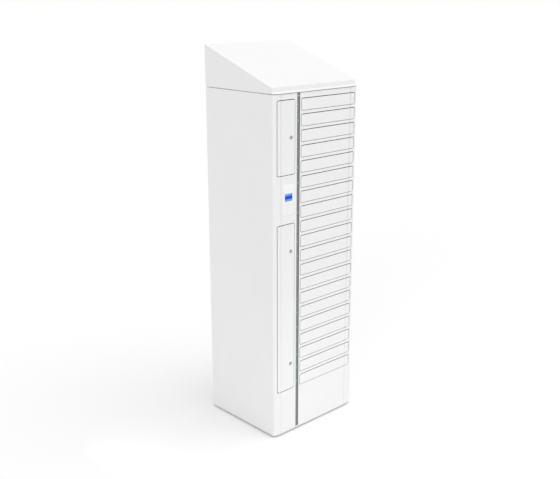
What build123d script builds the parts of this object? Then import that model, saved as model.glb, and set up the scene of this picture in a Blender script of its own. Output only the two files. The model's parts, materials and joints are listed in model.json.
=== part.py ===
from build123d import *
import os
from math import atan2, cos, degrees, radians, tan

os.makedirs("parts", exist_ok=True)

# Laptop charging locker. The frame has +Z up, -Y to the front and its origin on the
# floor, under the middle of the body. Every size is in millimetres.

# Body
body_width = 584
body_depth = 510
body_height = 1780
ground_gap = 10
casing_sheet = 1.5
inner_sheet = 1.2
panel_fit = 0.3  # clearance between an inner panel and the casing
cut_overrun = 1  # how far a cutting tool starts before the sheet or ends beyond it

# Bent front corners, seen from above
corner_width = 34
corner_depth = 9
outer_bend_radius = 10
frame_return = 28  # depth of the front frame along each side
rear_bend_radius = 3

# Small round forms that repeat many times are drawn with flats
corner_steps = 4
bore_flats = 8
plug_flats = 16
foot_flats = 12

# Laptop bays in the right-hand column
bay_count = 20
bay_pitch = 76
top_rail = 26
cutout_height = 61
cutout_corner = 10
side_margin = 20
bay_left = 177
bay_depth = 438  # front face to the rear wall

# Service column on the left
service_right = 137.5
upper_first_row, upper_last_row = 0, 4
lower_first_row, lower_last_row = 8, 19

# Doors
door_gap = 2
door_depth = 16
door_ring_inset = 3  # edge of the face plate to the ring of returns behind it
pivot_inset = 9  # pivot to the door's hinge edge
pivot_depth = 5.6  # pivot behind the flat front
rod_radius = 2
rod_running_fit = 0.05
rod_end = 4  # length of rod beyond the last shelf

# Electric latches and strikers
latch_width, latch_height, latch_depth = 17, 28, 50
latch_front = 22
slot_clearance = 1.5
striker_thickness = 2
striker_height = 14
striker_reach = 36
striker_inset = 6

# Cam locks
lock_from_edge = 24.5
lower_lock_from_end = 145
barrel_side = 14
barrel_head_radius = 10
barrel_head_height = 1.5
barrel_length = 20
barrel_hole_fit = 0.1
plug_radius = 5.5
plug_running_fit = 0.05
keyway_width, keyway_length, keyway_depth = 1.2, 7, 4
spigot_side = 7
cam_thickness = 2
cam_gap = 0.2
cam_length = 33
cam_width = 14
cam_tip_chamfer = 3.5
strike_clearance = 0.7

# Status strip between the columns
strip_left = 150
strip_width = 20
strip_from_bottom = 8
strip_recess = 2.5
strip_cover_thickness = 2
strip_fit = 0.2
channel_depth = 16
channel_flange = 3
board_thickness = 1.6
board_width = 16
led_width, led_height = 7, 10
light_bar_width = 18
light_bar_height = 6
light_bar_from_top = 7

# Control panel
panel_centre_x = 96
panel_width, panel_height = 64, 153
panel_proud = 1.2
panel_corner = 3
panel_chamfer = 0.6
panel_boss_inset = 3
panel_boss_depth = 3
display_width, display_height = 42, 38.5
display_rise = 12
display_thickness = 2
display_recess = 0.4
reader_width, reader_height = 38, 50
reader_offset = 6
reader_margin = 6
reader_thickness = 2
housing_width, housing_height, housing_depth = 84, 150, 42

# Sloping hood
hood_gap = 3
hood_setback = 19
hood_lip_height = 29.5
hood_slope = 20
hood_lip_radius = 8
hood_flange = 20
spacer_inset = 12
spacer_width = 12

# Base, feet and rear wall
base_rise = 2
base_sheet = 2
foot_inset = 45
foot_radius = 20
foot_pad_height = 8
foot_nut_radius = 10
wall_hole_radius = 4.5
wall_hole_spacing = 420
wall_hole_z = 1600
vent_width, vent_height = 60, 6
vent_columns, vent_rows = 3, 2
vent_pitch_x, vent_pitch_z = 110, 20
vent_top_z, vent_bottom_z = 1690, 330
inlet_width, inlet_height, inlet_depth = 30, 24, 26
inlet_flange_width, inlet_flange_height, inlet_flange_thickness = 50, 30, 1.5
inlet_recess_depth = 16
inlet_blade_width, inlet_blade_height, inlet_blade_length = 2, 4, 9
inlet_blade_pitch = 7
inlet_wall = 3
inlet_from_left, inlet_z = 90, 120

# Charging equipment
socket_width, socket_height = 46, 34
socket_rim = 3
socket_plate = 2
socket_body_depth = 28
controller_width, controller_height, controller_depth = 110, 220, 60
fin_count = 9
fin_depth = 12
fin_thickness = 3
outlet_strip_width, outlet_strip_depth, outlet_strip_length = 50, 40, 720
outlet_count = 10
outlet_width, outlet_height, outlet_depth = 34, 50, 4

# Values that follow from the sizes above
front_y = -body_depth / 2
rear_y = body_depth / 2
corner_slope = corner_depth / corner_width
corner_angle = atan2(corner_depth, corner_width)
web = bay_pitch - cutout_height
bay_right = body_width - side_margin
bay_width = bay_right - bay_left
bay_centre_x = (bay_left + bay_right) / 2
first_cutout_top = body_height - top_rail
last_cutout_bottom = first_cutout_top - (bay_count - 1) * bay_pitch - cutout_height
strip_right = strip_left + strip_width
partition_x = strip_right + channel_flange + panel_fit
bay_inner_left = partition_x + inner_sheet
latch_slot_x = bay_left + door_gap + striker_inset
service_width = service_right - side_margin
service_centre_x = (service_right + side_margin) / 2
strip_centre_x = (strip_left + strip_right) / 2
strip_bottom = ground_gap + strip_from_bottom
cam_front = barrel_length + cam_gap
strike_depth = cam_front - strike_clearance


def plane_x(from_left):
    """Distance from the left side, as an x in the part's frame."""
    return from_left - body_width / 2


def plane_y(from_front):
    """Distance behind the flat front, as a y in the part's frame."""
    return from_front + front_y


def in_frame(points):
    return [(plane_x(x), plane_y(y)) for x, y in points]


def cutout_top(row):
    return first_cutout_top - row * bay_pitch


def cutout_bottom(row):
    return cutout_top(row) - cutout_height


def cutout_middle(row):
    return cutout_top(row) - cutout_height / 2


def web_height(row):
    """Height of the middle of the web above the given row."""
    return cutout_top(row) + web / 2


def face_depth(x, inset=0.0):
    """Depth of the front surface at x, for a line that lies inset behind it."""
    from_side = min(x, body_width - x)
    on_corner = (corner_width - from_side) * corner_slope + inset / cos(corner_angle)
    return max(inset, on_corner)


def front_points(x_start, x_end, inset=0.0):
    """The front surface from one x to another, with its bends."""
    bend = corner_width + inset * tan(corner_angle / 2)
    bends = [x for x in (bend, body_width - bend) if x_start < x < x_end]
    start = (x_start, face_depth(x_start, inset))
    end = (x_end, face_depth(x_end, inset))
    return [start, *[(x, inset) for x in bends], end]


def soft_rectangle(width, height, radius):
    """Outline of a rectangle round the origin, each corner turned in equal steps."""
    points = []
    for quarter in range(4):
        side_x = 1 if quarter in (0, 3) else -1
        side_y = 1 if quarter in (0, 1) else -1
        centre = Vector(side_x * (width / 2 - radius), side_y * (height / 2 - radius))
        for step in range(corner_steps + 1):
            turn = 90 * (quarter + step / corner_steps)
            points.append(centre + Vector(radius, 0).rotate(Axis.Z, turn))
    return points


def face_plan(x_start, x_end, thickness):
    """Plan of a sheet that follows the front surface."""
    front = front_points(x_start, x_end)
    back = front_points(x_start, x_end, thickness)
    return in_frame(front + back[::-1])


def door_leaf(x_start, x_end, z_low, z_high):
    """Face plate with rounded corners and, behind it, a ring of returns."""
    centre = (plane_x((x_start + x_end) / 2), (z_low + z_high) / 2)
    corner = cutout_corner - door_gap
    ring_left = x_start + door_ring_inset
    ring_right = x_end - door_ring_inset
    ring_low = z_low + door_ring_inset
    ring_high = z_high - door_ring_inset
    ring_front = inner_sheet / 2
    ring_plan = front_points(ring_left, ring_right, ring_front)
    ring_plan += [(ring_right, door_depth), (ring_left, door_depth)]
    hollow_left = ring_left + inner_sheet
    hollow_right = ring_right - inner_sheet
    hollow_plan = front_points(hollow_left, hollow_right, inner_sheet)
    hollow_plan += [(hollow_right, door_depth), (hollow_left, door_depth)]
    with BuildPart() as leaf:
        with BuildSketch(Plane.XY.offset(z_low)):
            Polygon(*face_plan(x_start, x_end, inner_sheet), align=None)
        extrude(amount=z_high - z_low)
        with BuildSketch(Plane.XZ.offset(-front_y)):
            with Locations(centre):
                Polygon(*soft_rectangle(x_end - x_start, z_high - z_low, corner))
        extrude(amount=-door_depth, mode=Mode.INTERSECT)
        with BuildSketch(Plane.XY.offset(ring_low)):
            Polygon(*in_frame(ring_plan), align=None)
        extrude(amount=ring_high - ring_low)
        with BuildSketch(Plane.XY.offset(ring_low + inner_sheet)):
            Polygon(*in_frame(hollow_plan), align=None)
        extrude(amount=ring_high - ring_low - 2 * inner_sheet, mode=Mode.SUBTRACT)
    return leaf.part


# Where each door turns: the bays on their right edge, the service doors on their left
bay_door_right = bay_right - door_gap
bay_pivot_x = bay_door_right - pivot_inset
service_door_left = side_margin + door_gap
service_pivot_x = service_door_left + pivot_inset
lock_x = service_right - door_gap - lock_from_edge


def pivot_bore(x, z_low, z_high):
    """Tool that cuts the pivot rod's bores through both returns of a door."""
    with BuildPart() as bore:
        with BuildSketch(Plane.XY.offset(z_low)):
            with Locations((plane_x(x), plane_y(pivot_depth))):
                RegularPolygon(rod_radius + rod_running_fit, bore_flats, major_radius=False)
        extrude(amount=z_high - z_low)
    return bore.part


# Bay doors: a leaf with two pivot bores and a striker for the electric latch
for row in range(bay_count):
    door_high = cutout_top(row) - door_gap
    door_low = cutout_bottom(row) + door_gap
    door_middle = (door_high + door_low) / 2
    door_blank = door_leaf(bay_left + door_gap, bay_door_right, door_low, door_high)
    door_bore = pivot_bore(bay_pivot_x, door_low, door_high)
    with BuildPart() as bay_door:
        add(door_blank)
        add(door_bore, mode=Mode.SUBTRACT)
        with BuildSketch(Plane.XY.offset(door_middle - striker_height / 2)):
            with Locations((plane_x(latch_slot_x), plane_y(inner_sheet))):
                Rectangle(
                    striker_thickness,
                    striker_reach - inner_sheet,
                    align=(Align.CENTER, Align.MIN),
                )
        extrude(amount=striker_height)
        with BuildSketch(Plane.YZ.offset(plane_x(latch_slot_x))):
            with Locations((plane_y(striker_reach - striker_inset), door_middle)):
                Rectangle(striker_inset, striker_height / 2)
        extrude(amount=striker_thickness, both=True, mode=Mode.SUBTRACT)
    name = f"bay_door_{row + 1:02d}"
    bay_door.part.label = name
    export_step(bay_door.part, f"parts/{name}.step")


def service_door(first_row, last_row, lock_heights):
    """Tall leaf hinged on the left, with a hole for each cam lock."""
    high = cutout_top(first_row) - door_gap
    low = cutout_bottom(last_row) + door_gap
    blank = door_leaf(service_door_left, service_right - door_gap, low, high)
    bore = pivot_bore(service_pivot_x, low, high)
    with BuildPart() as door:
        add(blank)
        add(bore, mode=Mode.SUBTRACT)
        with BuildSketch(Plane.XZ.offset(-front_y + cut_overrun)):
            with Locations(*[(plane_x(lock_x), z) for z in lock_heights]):
                Rectangle(barrel_side + 2 * barrel_hole_fit, barrel_side + 2 * barrel_hole_fit)
        extrude(amount=-(door_depth + cut_overrun), mode=Mode.SUBTRACT)
    return door.part


upper_middle = (cutout_top(upper_first_row) + cutout_bottom(upper_last_row)) / 2
lower_top = cutout_top(lower_first_row)
lower_bottom = cutout_bottom(lower_last_row)
lower_middle = (lower_top + lower_bottom) / 2
upper_locks = [upper_middle]
lower_locks = [lower_top - lower_lock_from_end, lower_bottom + lower_lock_from_end]

upper_service_door = service_door(upper_first_row, upper_last_row, upper_locks)
upper_service_door.label = "upper_service_door"
export_step(upper_service_door, "parts/upper_service_door.step")

lower_service_door = service_door(lower_first_row, lower_last_row, lower_locks)
lower_service_door.label = "lower_service_door"
export_step(lower_service_door, "parts/lower_service_door.step")


def lock_barrels(heights):
    """Lock bodies with a round head and a square shank, one at each height."""
    with BuildPart() as barrels:
        for z in heights:
            centre = (plane_x(lock_x), z)
            with BuildSketch(Plane.XZ.offset(-front_y)):
                with Locations(centre):
                    Circle(barrel_head_radius)
                    RegularPolygon(
                        plug_radius + plug_running_fit,
                        plug_flats,
                        major_radius=False,
                        mode=Mode.SUBTRACT,
                    )
            extrude(amount=barrel_head_height)
            with BuildSketch(Plane.XZ.offset(-front_y)):
                with Locations(centre):
                    Rectangle(barrel_side, barrel_side)
                    RegularPolygon(
                        plug_radius + plug_running_fit,
                        plug_flats,
                        major_radius=False,
                        mode=Mode.SUBTRACT,
                    )
            extrude(amount=-barrel_length)
    return barrels.part


def lock_plug(z):
    """Turning core with a keyway in front and a square spigot behind."""
    with BuildPart() as plug:
        with BuildSketch(Plane.XZ.offset(-front_y + barrel_head_height)):
            with Locations((plane_x(lock_x), z)):
                RegularPolygon(plug_radius, plug_flats)
        extrude(amount=-(barrel_head_height + cam_front))
        with BuildSketch(Plane.XZ.offset(-front_y - cam_front)):
            with Locations((plane_x(lock_x), z)):
                Rectangle(spigot_side, spigot_side)
        extrude(amount=-(cam_thickness + cam_gap))
        with BuildSketch(Plane.XZ.offset(-front_y + barrel_head_height)):
            with Locations((plane_x(lock_x), z)):
                Rectangle(keyway_length, keyway_width)
        extrude(amount=-keyway_depth, mode=Mode.SUBTRACT)
    return plug.part


def lock_cam(z):
    """Flat cam that hangs down when unlocked, with a square hole for the spigot."""
    with BuildPart() as cam:
        with BuildSketch(Plane.XZ.offset(-front_y - cam_front)):
            with Locations((plane_x(lock_x), z)):
                Circle(cam_width / 2)
            with Locations((plane_x(lock_x), z - cam_length / 2)):
                Rectangle(cam_width, cam_length)
            with Locations((plane_x(lock_x), z)):
                Rectangle(spigot_side, spigot_side, mode=Mode.SUBTRACT)
        extrude(amount=-cam_thickness)
        tip = cam.edges().filter_by(Axis.Y).group_by(Axis.Z)[0]
        chamfer(tip, length=cam_tip_chamfer)
    return cam.part


upper_lock_barrel = lock_barrels(upper_locks)
upper_lock_barrel.label = "upper_lock_barrel"
export_step(upper_lock_barrel, "parts/upper_lock_barrel.step")

lower_lock_barrels = lock_barrels(lower_locks)
lower_lock_barrels.label = "lower_lock_barrels"
export_step(lower_lock_barrels, "parts/lower_lock_barrels.step")

lock_heights = {
    "upper_lock": upper_locks[0],
    "lower_lock_top": lower_locks[0],
    "lower_lock_bottom": lower_locks[1],
}
for lock_name, lock_z in lock_heights.items():
    plug = lock_plug(lock_z)
    plug.label = f"{lock_name}_plug"
    export_step(plug, f"parts/{lock_name}_plug.step")
    cam = lock_cam(lock_z)
    cam.label = f"{lock_name}_cam"
    export_step(cam, f"parts/{lock_name}_cam.step")


# Front frame: one bent sheet with every door, panel and strip cut-out
frame_height = body_height - ground_gap
inner_bend_radius = outer_bend_radius - casing_sheet
panel_centre_z = (cutout_bottom(upper_last_row) + cutout_top(lower_first_row)) / 2


def casing_outline(inset):
    """Front surface and both side returns, as an open line in plan."""
    left, right = inset, body_width - inset
    return [(left, frame_return), *front_points(left, right, inset), (right, frame_return)]


with BuildPart() as front_frame:
    with BuildSketch(Plane.XY.offset(ground_gap)):
        with BuildLine():
            outer_line = FilletPolyline(
                *in_frame(casing_outline(0)),
                radius=[outer_bend_radius, 0, 0, outer_bend_radius],
            )
            inner_line = FilletPolyline(
                *in_frame(casing_outline(casing_sheet)),
                radius=[inner_bend_radius, 0, 0, inner_bend_radius],
            )
            Line(outer_line @ 0, inner_line @ 0)
            Line(outer_line @ 1, inner_line @ 1)
        make_face()
    extrude(amount=frame_height)
    with BuildSketch(Plane.XZ.offset(-front_y)):
        bay_cutout = soft_rectangle(bay_width, cutout_height, cutout_corner)
        for row in range(bay_count):
            with Locations((plane_x(bay_centre_x), cutout_middle(row))):
                Polygon(*bay_cutout)
        for first, last in (
            (upper_first_row, upper_last_row),
            (lower_first_row, lower_last_row),
        ):
            high = cutout_top(first)
            low = cutout_bottom(last)
            with Locations((plane_x(service_centre_x), (high + low) / 2)):
                Polygon(*soft_rectangle(service_width, high - low, cutout_corner))
        with Locations((plane_x(panel_centre_x), panel_centre_z)):
            Rectangle(
                panel_width - 2 * panel_boss_inset, panel_height - 2 * panel_boss_inset
            )
        with Locations((plane_x(strip_centre_x), strip_bottom)):
            Rectangle(
                strip_width,
                body_height - strip_bottom + cut_overrun,
                align=(Align.CENTER, Align.MIN),
            )
    extrude(amount=-outer_bend_radius, mode=Mode.SUBTRACT)
front_frame.part.label = "front_frame"
export_step(front_frame.part, "parts/front_frame.step")

# Body wrap: both sides and the back from one sheet
with BuildPart() as body_wrap:
    with BuildSketch(Plane.XY.offset(ground_gap)):
        with BuildLine():
            wrap_outer = FilletPolyline(
                *in_frame(
                    [
                        (0, frame_return),
                        (0, body_depth),
                        (body_width, body_depth),
                        (body_width, frame_return),
                    ]
                ),
                radius=rear_bend_radius,
            )
            wrap_inner = FilletPolyline(
                *in_frame(
                    [
                        (casing_sheet, frame_return),
                        (casing_sheet, body_depth - casing_sheet),
                        (body_width - casing_sheet, body_depth - casing_sheet),
                        (body_width - casing_sheet, frame_return),
                    ]
                ),
                radius=rear_bend_radius - casing_sheet,
            )
            Line(wrap_outer @ 0, wrap_inner @ 0)
            Line(wrap_outer @ 1, wrap_inner @ 1)
        make_face()
    extrude(amount=frame_height)
    with BuildSketch(Plane.XZ.offset(-rear_y)):
        with Locations((0, wall_hole_z)):
            with GridLocations(wall_hole_spacing, 1, 2, 1):
                Circle(wall_hole_radius)
        for vent_z in (vent_top_z, vent_bottom_z):
            with Locations((0, vent_z)):
                with GridLocations(vent_pitch_x, vent_pitch_z, vent_columns, vent_rows):
                    Rectangle(vent_width, vent_height)
        with Locations((plane_x(inlet_from_left), inlet_z)):
            Rectangle(inlet_width, inlet_height)
    extrude(amount=2 * casing_sheet, mode=Mode.SUBTRACT)
body_wrap.part.label = "body_wrap"
export_step(body_wrap.part, "parts/body_wrap.step")


inner_side = casing_sheet + panel_fit
inner_right = body_width - inner_side
inner_rear = body_depth - casing_sheet - panel_fit


def front_relief(x, inward):
    """Two points that cut a plate's corner back from the casing's front bend."""
    inner_x = x + inward * outer_bend_radius
    return [
        (x, face_depth(x, casing_sheet) + outer_bend_radius),
        (inner_x, face_depth(inner_x, casing_sheet)),
    ]


def rear_relief(x, y, inward):
    """A plate's rear corner, cut back where the casing's rear bend is."""
    if y == inner_rear and x in (inner_side, inner_right):
        return [(x, y - rear_bend_radius), (x + inward * rear_bend_radius, y)]
    return [(x, y)]


def shelf_plan(x_start, x_end, y_end):
    """Plan of an inner plate that meets the front sheet and clears the casing's bends."""
    points = front_points(x_start, x_end, casing_sheet)
    if x_start == inner_side:
        points[:1] = front_relief(x_start, 1)
    if x_end == inner_right:
        points[-1:] = front_relief(x_end, -1)[::-1]
    points += rear_relief(x_end, y_end, -1) + rear_relief(x_start, y_end, 1)[::-1]
    return in_frame(points)


def casing_plate(z_low, thickness):
    """Plate that fills the casing from side to side and from front to back."""
    with BuildPart() as plate:
        with BuildSketch(Plane.XY.offset(z_low)):
            Polygon(*shelf_plan(inner_side, inner_right, inner_rear), align=None)
        extrude(amount=thickness)
    return plate.part


# Top panel, flush with the top edges of the casing
top_panel = casing_plate(body_height - casing_sheet, casing_sheet)
top_panel.label = "top_panel"
export_step(top_panel, "parts/top_panel.step")

# Base panel, on the feet
base_z = ground_gap + base_rise
base_panel = casing_plate(base_z, base_sheet)
base_panel.label = "base_panel"
export_step(base_panel, "parts/base_panel.step")

# Levelling feet: a round pad and a hexagonal nut up to the base panel
foot_spacing_x = body_width - 2 * foot_inset
foot_spacing_y = body_depth - 2 * foot_inset
with BuildPart() as levelling_feet:
    with BuildSketch():
        with GridLocations(foot_spacing_x, foot_spacing_y, 2, 2):
            RegularPolygon(foot_radius, foot_flats)
    extrude(amount=foot_pad_height)
    with BuildSketch(Plane.XY.offset(foot_pad_height)):
        with GridLocations(foot_spacing_x, foot_spacing_y, 2, 2):
            RegularPolygon(foot_nut_radius, 6)
    extrude(amount=base_z - foot_pad_height)
levelling_feet.part.label = "levelling_feet"
export_step(levelling_feet.part, "parts/levelling_feet.step")

# Partition between the service column and the bays
partition_bottom = base_z + base_sheet
partition_top = body_height - casing_sheet
with BuildPart() as partition_wall:
    with BuildSketch(Plane.XY.offset(partition_bottom)):
        with Locations((plane_x(partition_x), plane_y(casing_sheet))):
            Rectangle(
                inner_sheet,
                body_depth - 2 * casing_sheet,
                align=(Align.MIN, Align.MIN),
            )
    extrude(amount=partition_top - partition_bottom)
partition_wall.part.label = "partition_wall"
export_step(partition_wall.part, "parts/partition_wall.step")

# Bay shelves: one above each bay and one below the last, notched for the pivot rod
with BuildPart() as bay_shelves:
    for row in range(bay_count + 1):
        with BuildSketch(Plane.XY.offset(web_height(row) - inner_sheet / 2)):
            Polygon(*shelf_plan(bay_inner_left, inner_right, bay_depth), align=None)
            with Locations((plane_x(bay_pivot_x), front_y)):
                Rectangle(
                    2 * rod_radius,
                    pivot_depth + rod_radius,
                    align=(Align.CENTER, Align.MIN),
                    mode=Mode.SUBTRACT,
                )
        extrude(amount=inner_sheet)
bay_shelves.part.label = "bay_shelves"
export_step(bay_shelves.part, "parts/bay_shelves.step")

# Service shelves: above and below each service door, around the strike channel
strike_left = service_right + door_gap
strike_right = strip_left - channel_flange - panel_fit
service_levels = [
    web_height(upper_first_row),
    web_height(upper_last_row + 1),
    web_height(lower_first_row),
    web_height(lower_last_row + 1),
]
with BuildPart() as service_shelves:
    for level in service_levels:
        with BuildSketch(Plane.XY.offset(level - inner_sheet / 2)):
            Polygon(*shelf_plan(inner_side, partition_x, inner_rear), align=None)
            with Locations((plane_x(service_pivot_x), front_y)):
                Rectangle(
                    2 * rod_radius,
                    pivot_depth + rod_radius,
                    align=(Align.CENTER, Align.MIN),
                    mode=Mode.SUBTRACT,
                )
            with Locations((plane_x(strike_left - panel_fit), front_y)):
                Rectangle(
                    body_width,
                    strike_depth + panel_fit,
                    align=(Align.MIN, Align.MIN),
                    mode=Mode.SUBTRACT,
                )
        extrude(amount=inner_sheet)
service_shelves.part.label = "service_shelves"
export_step(service_shelves.part, "parts/service_shelves.step")


# Pivot rods: one for the column of bay doors and one for each service door
rod_spans = [
    (bay_pivot_x, web_height(bay_count), web_height(0)),
    (service_pivot_x, service_levels[1], service_levels[0]),
    (service_pivot_x, service_levels[3], service_levels[2]),
]
with BuildPart() as pivot_rods:
    for x, z_low, z_high in rod_spans:
        with BuildSketch(Plane.XY.offset(z_low - rod_end)):
            with Locations((plane_x(x), plane_y(pivot_depth))):
                Circle(rod_radius)
        extrude(amount=z_high - z_low + 2 * rod_end)
pivot_rods.part.label = "pivot_rods"
export_step(pivot_rods.part, "parts/pivot_rods.step")

# Strike channel that the lock cams turn behind
strike_bottom = partition_bottom
with BuildPart() as strike_channel:
    with BuildSketch(Plane.XY.offset(strike_bottom)):
        with Locations((plane_x((strike_left + strike_right) / 2), front_y + casing_sheet)):
            Rectangle(
                strike_right - strike_left,
                strike_depth - casing_sheet,
                align=(Align.CENTER, Align.MIN),
            )
            Rectangle(
                strike_right - strike_left - 2 * inner_sheet,
                strike_depth - casing_sheet - inner_sheet,
                align=(Align.CENTER, Align.MIN),
                mode=Mode.SUBTRACT,
            )
    extrude(amount=partition_top - strike_bottom)
strike_channel.part.label = "strike_channel"
export_step(strike_channel.part, "parts/strike_channel.step")

# Rear wall of the bays, with a cut-out for each charging socket
rear_wall_bottom = last_cutout_bottom - web
rear_wall_top = partition_top
socket_x = (bay_inner_left + body_width) / 2
socket_body_width = socket_width - 2 * socket_rim
socket_body_height = socket_height - 2 * socket_rim
with BuildPart() as bay_rear_wall:
    with BuildSketch(Plane.XY.offset(rear_wall_bottom)):
        with Locations((plane_x(bay_inner_left), plane_y(bay_depth))):
            Rectangle(
                inner_right - bay_inner_left,
                inner_sheet,
                align=(Align.MIN, Align.MIN),
            )
    extrude(amount=rear_wall_top - rear_wall_bottom)
    with BuildSketch(Plane.XZ.offset(-plane_y(bay_depth))):
        for row in range(bay_count):
            with Locations((plane_x(socket_x), cutout_middle(row))):
                Rectangle(socket_body_width, socket_body_height)
    extrude(amount=-inner_sheet, mode=Mode.SUBTRACT)
bay_rear_wall.part.label = "bay_rear_wall"
export_step(bay_rear_wall.part, "parts/bay_rear_wall.step")

# Charging sockets: a face plate in the bay and a body behind the wall
with BuildPart() as charging_sockets:
    for row in range(bay_count):
        centre = (plane_x(socket_x), cutout_middle(row))
        with BuildSketch(Plane.XZ.offset(-plane_y(bay_depth))):
            with Locations(centre):
                Rectangle(socket_width, socket_height)
        extrude(amount=socket_plate)
        with BuildSketch(Plane.XZ.offset(-plane_y(bay_depth))):
            with Locations(centre):
                Rectangle(socket_body_width, socket_body_height)
        extrude(amount=-socket_body_depth)
charging_sockets.part.label = "charging_sockets"
export_step(charging_sockets.part, "parts/charging_sockets.step")

# Electric latches on the partition, each with a slot for its door's striker
with BuildPart() as bay_latches:
    for row in range(bay_count):
        middle = cutout_middle(row)
        with BuildSketch(Plane.XY.offset(middle - latch_height / 2)):
            with Locations((plane_x(bay_inner_left), plane_y(latch_front))):
                Rectangle(latch_width, latch_depth, align=(Align.MIN, Align.MIN))
        extrude(amount=latch_height)
        with BuildSketch(Plane.XY.offset(middle - striker_height / 2 - slot_clearance)):
            with Locations((plane_x(latch_slot_x), plane_y(latch_front))):
                Rectangle(
                    striker_thickness + 2 * slot_clearance,
                    striker_reach - latch_front + slot_clearance,
                    align=(Align.CENTER, Align.MIN),
                )
        extrude(amount=striker_height + 2 * slot_clearance, mode=Mode.SUBTRACT)
bay_latches.part.label = "bay_latches"
export_step(bay_latches.part, "parts/bay_latches.step")

# Status strip: channel, board, cover with a window for every lamp, and the lamps
strip_top = body_height - casing_sheet - panel_fit
cover_back = strip_recess + strip_cover_thickness
lamp_back = channel_depth - casing_sheet - board_thickness
with BuildPart() as strip_channel:
    with BuildSketch(Plane.XY.offset(strip_bottom)):
        with Locations((plane_x(strip_centre_x), front_y + casing_sheet)):
            Rectangle(
                strip_width + 2 * channel_flange,
                casing_sheet,
                align=(Align.CENTER, Align.MIN),
            )
            Rectangle(
                strip_width + 2 * casing_sheet,
                channel_depth - casing_sheet,
                align=(Align.CENTER, Align.MIN),
            )
            Rectangle(
                strip_width,
                channel_depth - 2 * casing_sheet,
                align=(Align.CENTER, Align.MIN),
                mode=Mode.SUBTRACT,
            )
    extrude(amount=strip_top - strip_bottom)
strip_channel.part.label = "strip_channel"
export_step(strip_channel.part, "parts/strip_channel.step")

with BuildPart() as strip_board:
    with BuildSketch(Plane.XY.offset(strip_bottom)):
        with Locations((plane_x(strip_centre_x), plane_y(lamp_back))):
            Rectangle(board_width, board_thickness, align=(Align.CENTER, Align.MIN))
    extrude(amount=strip_top - strip_bottom)
strip_board.part.label = "strip_board"
export_step(strip_board.part, "parts/strip_board.step")

lamp_heights = [cutout_middle(row) for row in range(bay_count)]
light_bar_z = body_height - light_bar_from_top - light_bar_height / 2
with BuildPart() as strip_cover:
    with BuildSketch(Plane.XY.offset(strip_bottom)):
        with Locations((plane_x(strip_centre_x), plane_y(strip_recess))):
            Rectangle(
                strip_width - 2 * strip_fit,
                strip_cover_thickness,
                align=(Align.CENTER, Align.MIN),
            )
    extrude(amount=strip_top - strip_bottom)
    with BuildSketch(Plane.XZ.offset(-plane_y(strip_recess))):
        for lamp_z in lamp_heights:
            with Locations((plane_x(strip_centre_x), lamp_z)):
                Rectangle(led_width, led_height)
        with Locations((plane_x(strip_centre_x), light_bar_z)):
            Rectangle(light_bar_width, light_bar_height)
    extrude(amount=-strip_cover_thickness, mode=Mode.SUBTRACT)
strip_cover.part.label = "strip_cover"
export_step(strip_cover.part, "parts/strip_cover.step")


def light_pipes(heights, width, height):
    """Clear blocks from the board to the cover's front, one at each height."""
    with BuildPart() as pipes:
        with BuildSketch(Plane.XZ.offset(-plane_y(strip_recess))):
            for z in heights:
                with Locations((plane_x(strip_centre_x), z)):
                    Rectangle(width, height)
        extrude(amount=-(lamp_back - strip_recess))
    return pipes.part


# The rows whose lamp shows each colour; the first row's lamp is out
lamp_rows = {
    "green": [2, 5, 6, 8, 10, 11, 15, 16, 18, 19, 20],
    "red": [3, 4, 9, 12, 13],
    "teal": [7, 14, 17],
    "unlit": [1],
}
for colour, rows in lamp_rows.items():
    heights = [lamp_heights[row - 1] for row in rows if row <= bay_count]
    lamps = light_pipes(heights, led_width, led_height)
    lamps.label = f"status_lamps_{colour}"
    export_step(lamps, f"parts/status_lamps_{colour}.step")

light_bar = light_pipes([light_bar_z], light_bar_width, light_bar_height)
light_bar.label = "status_light_bar"
export_step(light_bar, "parts/status_light_bar.step")

# Control panel: moulded bezel with a display window and a recess for the card reader
display_z = panel_centre_z + display_rise
reader_x = panel_centre_x + reader_offset
reader_z = panel_centre_z - panel_height / 2 + reader_margin + reader_height / 2
with BuildPart() as panel_bezel:
    with BuildSketch(Plane.XZ.offset(-front_y)):
        with Locations((plane_x(panel_centre_x), panel_centre_z)):
            Polygon(*soft_rectangle(panel_width, panel_height, panel_corner))
    extrude(amount=panel_proud)
    bezel_front = panel_bezel.faces().sort_by(Axis.Y)[0]
    chamfer(bezel_front.outer_wire().edges(), length=panel_chamfer)
    with BuildSketch(Plane.XZ.offset(-front_y)):
        with Locations((plane_x(panel_centre_x), panel_centre_z)):
            Rectangle(
                panel_width - 2 * (panel_boss_inset + panel_fit),
                panel_height - 2 * (panel_boss_inset + panel_fit),
            )
    extrude(amount=-panel_boss_depth)
    with BuildSketch(Plane.XZ.offset(-front_y + panel_proud)):
        with Locations((plane_x(panel_centre_x), display_z)):
            Rectangle(display_width, display_height)
    extrude(amount=-(panel_proud + panel_boss_depth), mode=Mode.SUBTRACT)
    with BuildSketch(Plane.XZ.offset(-front_y + panel_proud)):
        with Locations((plane_x(reader_x), reader_z)):
            Rectangle(reader_width, reader_height)
    extrude(amount=-reader_thickness, mode=Mode.SUBTRACT)
panel_bezel.part.label = "panel_bezel"
export_step(panel_bezel.part, "parts/panel_bezel.step")

with BuildPart() as display_glass:
    with BuildSketch(Plane.XZ.offset(-front_y + panel_proud - display_recess)):
        with Locations((plane_x(panel_centre_x), display_z)):
            Rectangle(display_width - 2 * strip_fit, display_height - 2 * strip_fit)
    extrude(amount=-display_thickness)
display_glass.part.label = "display_glass"
export_step(display_glass.part, "parts/display_glass.step")

with BuildPart() as card_reader:
    with BuildSketch(Plane.XZ.offset(-front_y + panel_proud)):
        with Locations((plane_x(reader_x), reader_z)):
            Rectangle(reader_width - 2 * strip_fit, reader_height - 2 * strip_fit)
    extrude(amount=-reader_thickness)
card_reader.part.label = "card_reader"
export_step(card_reader.part, "parts/card_reader.step")

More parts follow.
